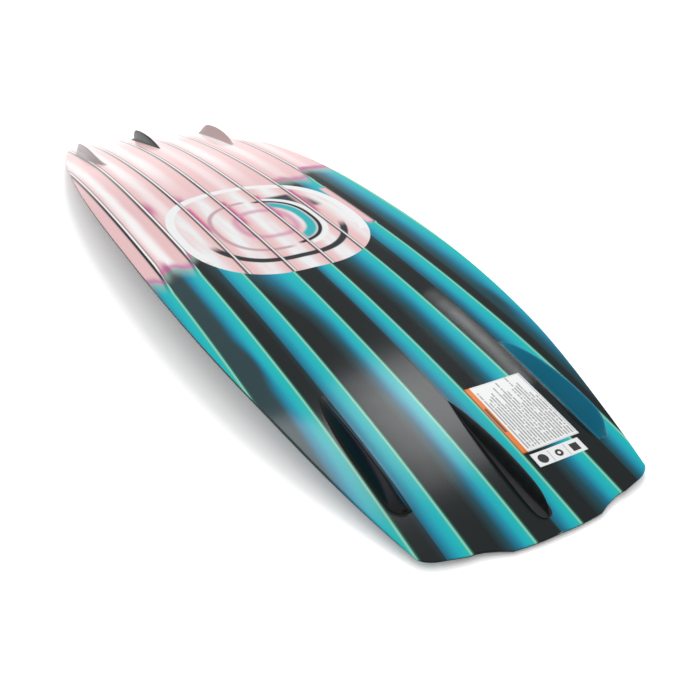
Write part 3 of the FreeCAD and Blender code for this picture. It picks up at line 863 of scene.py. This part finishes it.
def oval_panel(tree, x, y, oval, since, until, thin, drift):
    """Colour inside the plain oval panel: ripples, soft glows and a white border."""
    height = since + until
    middle = ((since / height - 0.5) * 2.0).size()
    glow = middle.eased(0.12, 0.75).opposite() * (drift * 1.6 + 0.85)
    colour = mixed(tree, paint(233, 194, 194), paint(237, 238, 239), glow.least(1.0))
    far = x.eased(-20.0, 10.0).opposite()
    magenta = since.eased(1.5, 12.0).opposite() * far * x.eased(-118.0, -100.0)
    colour = mixed(tree, colour, paint(203, 72, 142), magenta)
    side = y.eased(30.0, 38.0)
    smoke = oval.bump(0.66, 0.17, 0.06) * side * x.eased(-98.0, -86.0) * x.eased(-34.0, -18.0).opposite()
    colour = mixed(tree, colour, paint(62, 68, 74), smoke * middle.eased(0.55, 0.95).opposite())
    colour = mixed(tree, colour, paint(206, 140, 176), oval.bump(0.30, 0.07) * 0.7)
    colour = mixed(tree, colour, paint(60, 178, 186), oval.bump(0.44, 0.07, 0.03) * side)
    colour = mixed(tree, colour, paint(44, 48, 52), oval.bump(0.525, 0.03, 0.012) * y.eased(10.0, 22.0))
    colour = mixed(tree, colour, paint(236, 238, 239), oval.bump(0.575, 0.04, 0.02) * side)
    colour = mixed(tree, colour, paint(188, 150, 160), oval.bump(0.56, 0.035, 0.01) * y.eased(10.0, -6.0) * 0.8)
    colour = mixed(tree, colour, paint(56, 60, 64), oval.bump(0.755, 0.045, 0.025) * x.eased(40.0, 70.0))
    border = oval.eased(0.905, 0.915) * x.eased(84.0, 92.0).opposite()
    colour = mixed(tree, colour, paint(239, 241, 242), border)
    colour = mixed(tree, colour, paint(66, 50, 54), until.eased(3.6, 6.0).opposite() * 0.85)
    colour = mixed(tree, colour, paint(120, 118, 122), since.eased(1.4, 4.2).opposite() * 0.7)
    return mixed(tree, colour, paint(228, 230, 231), thin)


# ---------------------------------------------------------------- the other materials
def plain_finish(name, colour, variation, roughness, grain, depth, stretch=(1.0, 1.0, 1.0), metallic=0.0):
    """Material with a mottled colour, uneven roughness and a fine relief; grain is in mm."""
    material, tree, shader = new_material(name)
    x, y, z = [part / (grain * share) for part, share in zip(coordinates(tree), stretch)]
    fine = noise(tree, x, y, z, detail=3.0)
    broad = noise(tree, x * 0.08, y * 0.08, z * 0.08, detail=4.0)
    darker = tuple(part * (1.0 - variation) for part in colour[:3]) + (1.0,)
    lighter = tuple(min(part * (1.0 + variation), 1.0) for part in colour[:3]) + (1.0,)
    tone = mixed(tree, darker, lighter, (fine + broad).eased(-0.5, 0.5))
    tree.links.new(tone.socket, shader.inputs["Base Color"])
    rough = (broad + fine * 0.5) * 0.16 + roughness
    tree.links.new(rough.socket, shader.inputs["Roughness"])
    shader.inputs["Metallic"].default_value = metallic
    shader.inputs["Specular IOR Level"].default_value = 0.2
    relief(tree, shader, fine, depth)
    return material


def deck_print():
    """Dark deck with a thin teal and a thin pink stripe and a faint airbrushed glow."""
    material, tree, shader = new_material("deck_print")
    x, y, z = coordinates(tree)
    drift = noise(tree, x / 120.0, y / 26.0, detail=2.0)
    away = y.size() + drift * 10.0
    colour = mixed(tree, paint(44, 47, 49), paint(44, 118, 136), away.bump(150.0, 44.0) * x.eased(-120.0, 260.0))
    colour = mixed(tree, colour, paint(214, 160, 166), away.bump(150.0, 44.0) * x.eased(120.0, -260.0))
    thin = y.size().bump(128.0, 1.7, 0.8)
    colour = mixed(tree, colour, paint(140, 206, 188), thin * x.eased(-60.0, 60.0))
    colour = mixed(tree, colour, paint(236, 214, 214), thin * x.eased(60.0, -60.0))
    ring = ((x * x + y * y) ** 0.5).bump(46.0, 5.2, 4.6)
    colour = mixed(tree, colour, paint(205, 208, 210), ring)
    grain = noise(tree, x / 1.2, y / 1.2, z / 1.2, detail=2.0)
    colour = mixed(tree, colour, paint(0, 0, 0), grain.eased(0.0, 0.45) * 0.12)
    tree.links.new(colour.socket, shader.inputs["Base Color"])
    rough = noise(tree, x / 40.0, y / 40.0, detail=3.0) * 0.08 + 0.24
    tree.links.new(rough.socket, shader.inputs["Roughness"])
    shader.inputs["Specular IOR Level"].default_value = 0.4
    relief(tree, shader, grain, 0.006)
    return material


def vinyl(tree, shader, x, y, colour):
    """Finish a printed vinyl label with a slightly uneven satin film."""
    film = noise(tree, x / 7.0, y / 7.0, detail=3.0)
    colour = mixed(tree, colour, paint(206, 204, 198), film.eased(0.1, 0.5) * 0.25)
    tree.links.new(colour.socket, shader.inputs["Base Color"])
    tree.links.new((film * 0.12 + 0.36).socket, shader.inputs["Roughness"])
    shader.inputs["Specular IOR Level"].default_value = 0.3
    relief(tree, shader, film, 0.01)


def label_coordinates(tree, node, turn_degrees):
    """Place on a label from its corner at the smallest x and y, along its length and width, in mm."""
    low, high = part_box(node)
    x, y, z = coordinates(tree)
    turn = math.radians(turn_degrees)
    from_x = x - 0.5 * (low[0] + high[0]) / MM
    from_y = y - 0.5 * (low[1] + high[1]) / MM
    along = from_x * math.cos(turn) + from_y * math.sin(turn) + 0.5 * (high[0] - low[0]) / MM
    across = from_y * math.cos(turn) - from_x * math.sin(turn) + 0.5 * (high[1] - low[1]) / MM
    return along, across


def care_print(turn_degrees):
    """White label with a plain orange band and rows of grey bars in place of any wording."""
    material, tree, shader = new_material("care_print")
    along, across = label_coordinates(tree, "care_label", turn_degrees)
    row = (across - 9.0) / 3.9
    index = row.whole()
    inside_row = (row - index).bump(0.5, 0.3, 0.2)
    words = noise(tree, along / 2.3, index * 7.3, detail=0.0).eased(-0.17, -0.11)
    ends = along.above(noise(tree, index * 3.7, 0.5, detail=0.0) * 90.0 + 22.0) * along.above(105.5).opposite()
    text = inside_row * words * ends * across.above(9.5) * across.above(77.0).opposite()
    colour = mixed(tree, paint(242, 243, 243), paint(140, 141, 142), text * 0.85)
    band = across.above(7.2).opposite()
    colour = mixed(tree, colour, paint(233, 126, 46), band)
    mark = along.bump(56.0, 20.0, 19.5) * across.bump(3.6, 1.9, 1.5)
    colour = mixed(tree, colour, paint(80, 52, 40), mark * 0.85)
    vinyl(tree, shader, along, across, colour)
    return material


def picture_print(turn_degrees):
    """White label with three plain shapes and two thin dividers."""
    material, tree, shader = new_material("picture_print")
    along, across = label_coordinates(tree, "picture_label", turn_degrees)
    mid = along - 10.0
    disc = (mid * mid + (across - 11.0) * (across - 11.0)) ** 0.5
    ring = (mid * mid + (across - 33.0) * (across - 33.0)) ** 0.5
    square = mid.size().most((across - 55.0).size())
    ink = disc.bump(0.0, 6.6, 5.9).most(ring.bump(3.4, 1.8, 1.1)).most(square.bump(0.0, 5.6, 5.0))
    dividers = across.bump(22.0, 0.7, 0.3).most(across.bump(44.0, 0.7, 0.3)) * along.bump(10.0, 8.0, 7.6)
    colour = mixed(tree, paint(240, 241, 241), paint(52, 52, 54), ink.most(dividers * 0.5))
    vinyl(tree, shader, along, across, colour)
    return material


def wood(name):
    """Pale stringer wood with its grain along the board."""
    material, tree, shader = new_material(name)
    x, y, z = coordinates(tree)
    grain = noise(tree, x / 90.0, y / 1.1, z / 1.1, detail=4.0)
    colour = ramp(tree, grain + 0.5, (
        (0.3, (0.36, 0.2, 0.09, 1.0)),
        (0.5, (0.55, 0.35, 0.17, 1.0)),
        (0.7, (0.68, 0.48, 0.27, 1.0)),
    ))
    tree.links.new(colour.socket, shader.inputs["Base Color"])
    tree.links.new((grain * 0.2 + 0.6).socket, shader.inputs["Roughness"])
    relief(tree, shader, grain, 0.05)
    return material


def cover(materials):
    """Give every CAD node the material of its slot."""
    for name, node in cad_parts.items():
        chosen = next(material for words, material in materials if any(word in name for word in words))
        for place in node.material_slots:
            place.material = chosen


# ---------------------------------------------------------------- camera, light and floor
CAMERA_AZIMUTH = 60.527
CAMERA_ELEVATION = 31.290
CAMERA_ROLL = 0.562
CAMERA_DISTANCE = 1028.4
CAMERA_TARGET = (390.33, -68.0, 72.2)
CAMERA_LENS = 45.355

FLOOR_LIFT = 0.17              # how far the floor's shadows are lifted
WORLD_SIDE = 0.45              # light from the horizon
WORLD_TOP = 1.375              # extra light from straight above
FLOOR_REACH = 30.0             # half the side of the floor, in metres
SOFTBOXES = (                  # name, centre on x and y, length along x and y, turn in degrees, power in W
    ("softbox_bright", (-0.76, 1.168), (0.52, 0.385), 0.0, 6.6),
    ("softbox_wide", (-0.76, 1.168), (0.96, 0.385), 0.0, 7.6),
    ("softbox_rail", (-0.48, 0.36), (0.65, 0.48), 0.0, 9.0),
    ("softbox_bar", (-1.19, 1.780), (0.88, 0.020), -6.5, 0.75),
    ("softbox_bar_wide", (-1.25, 1.787), (1.06, 0.040), -6.5, 0.90),
    ("softbox_bar_glow", (-1.33, 1.796), (1.24, 0.070), -6.5, 0.75),
)
SOFTBOX_HEIGHT = 2.0


def make_camera():
    turn = math.radians(CAMERA_AZIMUTH)
    lift = math.radians(CAMERA_ELEVATION)
    roll = math.radians(CAMERA_ROLL)
    back = Vector((math.sin(turn) * math.cos(lift), -math.cos(turn) * math.cos(lift), math.sin(lift)))
    level = Vector((math.cos(turn), math.sin(turn), 0.0))
    upward = back.cross(level)
    right = level * math.cos(roll) + upward * math.sin(roll)
    top = upward * math.cos(roll) - level * math.sin(roll)
    place = (back * CAMERA_DISTANCE + Vector(CAMERA_TARGET)) * MM
    camera = bpy.data.objects.new("camera", bpy.data.cameras.new("camera"))
    camera.data.lens = CAMERA_LENS
    camera.data.sensor_width = 36.0
    camera.data.clip_start = 0.05
    camera.matrix_world = Matrix.Translation(place) @ Matrix((right, top, back)).transposed().to_4x4()
    bpy.context.scene.collection.objects.link(camera)
    bpy.context.scene.camera = camera


def make_softbox(name, centre, lengths, turn_degrees, power):
    """Flat light that hangs level above the board and shows as a soft sheen in its lacquer."""
    light = bpy.data.lights.new(name, "AREA")
    light.shape = "RECTANGLE"
    light.size, light.size_y = lengths
    light.energy = power
    lamp = bpy.data.objects.new(name, light)
    turn = Matrix.Rotation(math.radians(turn_degrees), 4, "Z")
    lamp.matrix_world = Matrix.Translation((centre[0], centre[1], SOFTBOX_HEIGHT)) @ turn
    lamp.visible_camera = False
    bpy.context.scene.collection.objects.link(lamp)


def make_stage():
    mesh = bpy.data.meshes.new("floor")
    corners = [(x * FLOOR_REACH, y * FLOOR_REACH, 0.0) for x, y in ((-1, -1), (1, -1), (1, 1), (-1, 1))]
    mesh.from_pydata(corners, [], [(0, 1, 2, 3)])
    floor = bpy.data.objects.new("floor", mesh)
    bpy.context.scene.collection.objects.link(floor)
    material = bpy.data.materials.new("floor")
    material.use_nodes = True
    shader = material.node_tree.nodes["Principled BSDF"]
    shader.inputs["Base Color"].default_value = (0.90, 0.90, 0.90, 1.0)
    shader.inputs["Emission Color"].default_value = (1.0, 1.0, 1.0, 1.0)
    shader.inputs["Emission Strength"].default_value = FLOOR_LIFT
    shader.inputs["Roughness"].default_value = 1.0
    shader.inputs["Specular IOR Level"].default_value = 0.0
    mesh.materials.append(material)
    world = bpy.data.worlds.new("studio")
    world.use_nodes = True
    tree = world.node_tree
    background = tree.nodes["Background"]
    background.inputs["Color"].default_value = (1.0, 1.0, 1.0, 1.0)
    split = tree.nodes.new("ShaderNodeSeparateXYZ")
    tree.links.new(tree.nodes.new("ShaderNodeTexCoord").outputs["Generated"], split.inputs[0])
    upward = Field(tree, split.outputs[2])
    horizon = upward.eased(0.34, 0.12) * (1.0 - WORLD_SIDE)
    feed(tree, background.inputs["Strength"], upward * upward * upward * WORLD_TOP + horizon + WORLD_SIDE)
    bpy.context.scene.world = world
    bpy.context.scene.view_settings.view_transform = "Standard"
    for softbox in SOFTBOXES:
        make_softbox(*softbox)


make_camera()
make_stage()
edge_black = plain_finish("edge_black", (0.012, 0.012, 0.013, 1.0), 0.4, 0.42, 1.4, 0.02)
fin_black = plain_finish("fin_black", (0.010, 0.011, 0.012, 1.0), 0.5, 0.34, 0.8, 0.012)
finish(base_skin(), base_print())
finish(deck_skin(), deck_print(), edge_black)
finish(centre_fin("nose_fin_blade", 1, "nose_centre_fin"), fin_black)
finish(centre_fin("tail_fin_blade", -1, "tail_centre_fin"), fin_black)
finish(label("care_label_print", "care_label", LABEL_TURN), care_print(LABEL_TURN))
finish(label("picture_label_print", "picture_label", LABEL_TURN), picture_print(LABEL_TURN))
pads = plain_finish("pad_plastic", (0.06, 0.06, 0.065, 1.0), 0.2, 0.5, 2.0, 0.02)
brass = plain_finish("brass", (0.72, 0.47, 0.18, 1.0), 0.12, 0.3, 0.5, 0.008, (1.0, 1.0, 6.0), 1.0)
steel = plain_finish("steel", (0.62, 0.62, 0.60, 1.0), 0.08, 0.28, 0.4, 0.006, (1.0, 5.0, 1.0), 1.0)
sleeves = plain_finish("sleeve_plastic", (0.5, 0.5, 0.47, 1.0), 0.1, 0.5, 1.0, 0.01)
stringers = wood("stringer_wood")
foam = plain_finish("core_foam", (0.72, 0.62, 0.40, 1.0), 0.15, 0.85, 0.7, 0.12)
glass = plain_finish("glass_laminate", (0.42, 0.45, 0.38, 1.0), 0.25, 0.35, 1.2, 0.05, (8.0, 1.0, 1.0))
cover((                        # the first row with a word in the node's name counts
    (("insert_pads",), pads),
    (("inserts", "nuts"), brass),
    (("screws", "washers"), steel),
    (("sleeves",), sleeves),
    (("stringer",), stringers),
    (("foam",), foam),
    (("laminate", "filler"), glass),
    (("fin",), fin_black),
    (("",), edge_black),
))
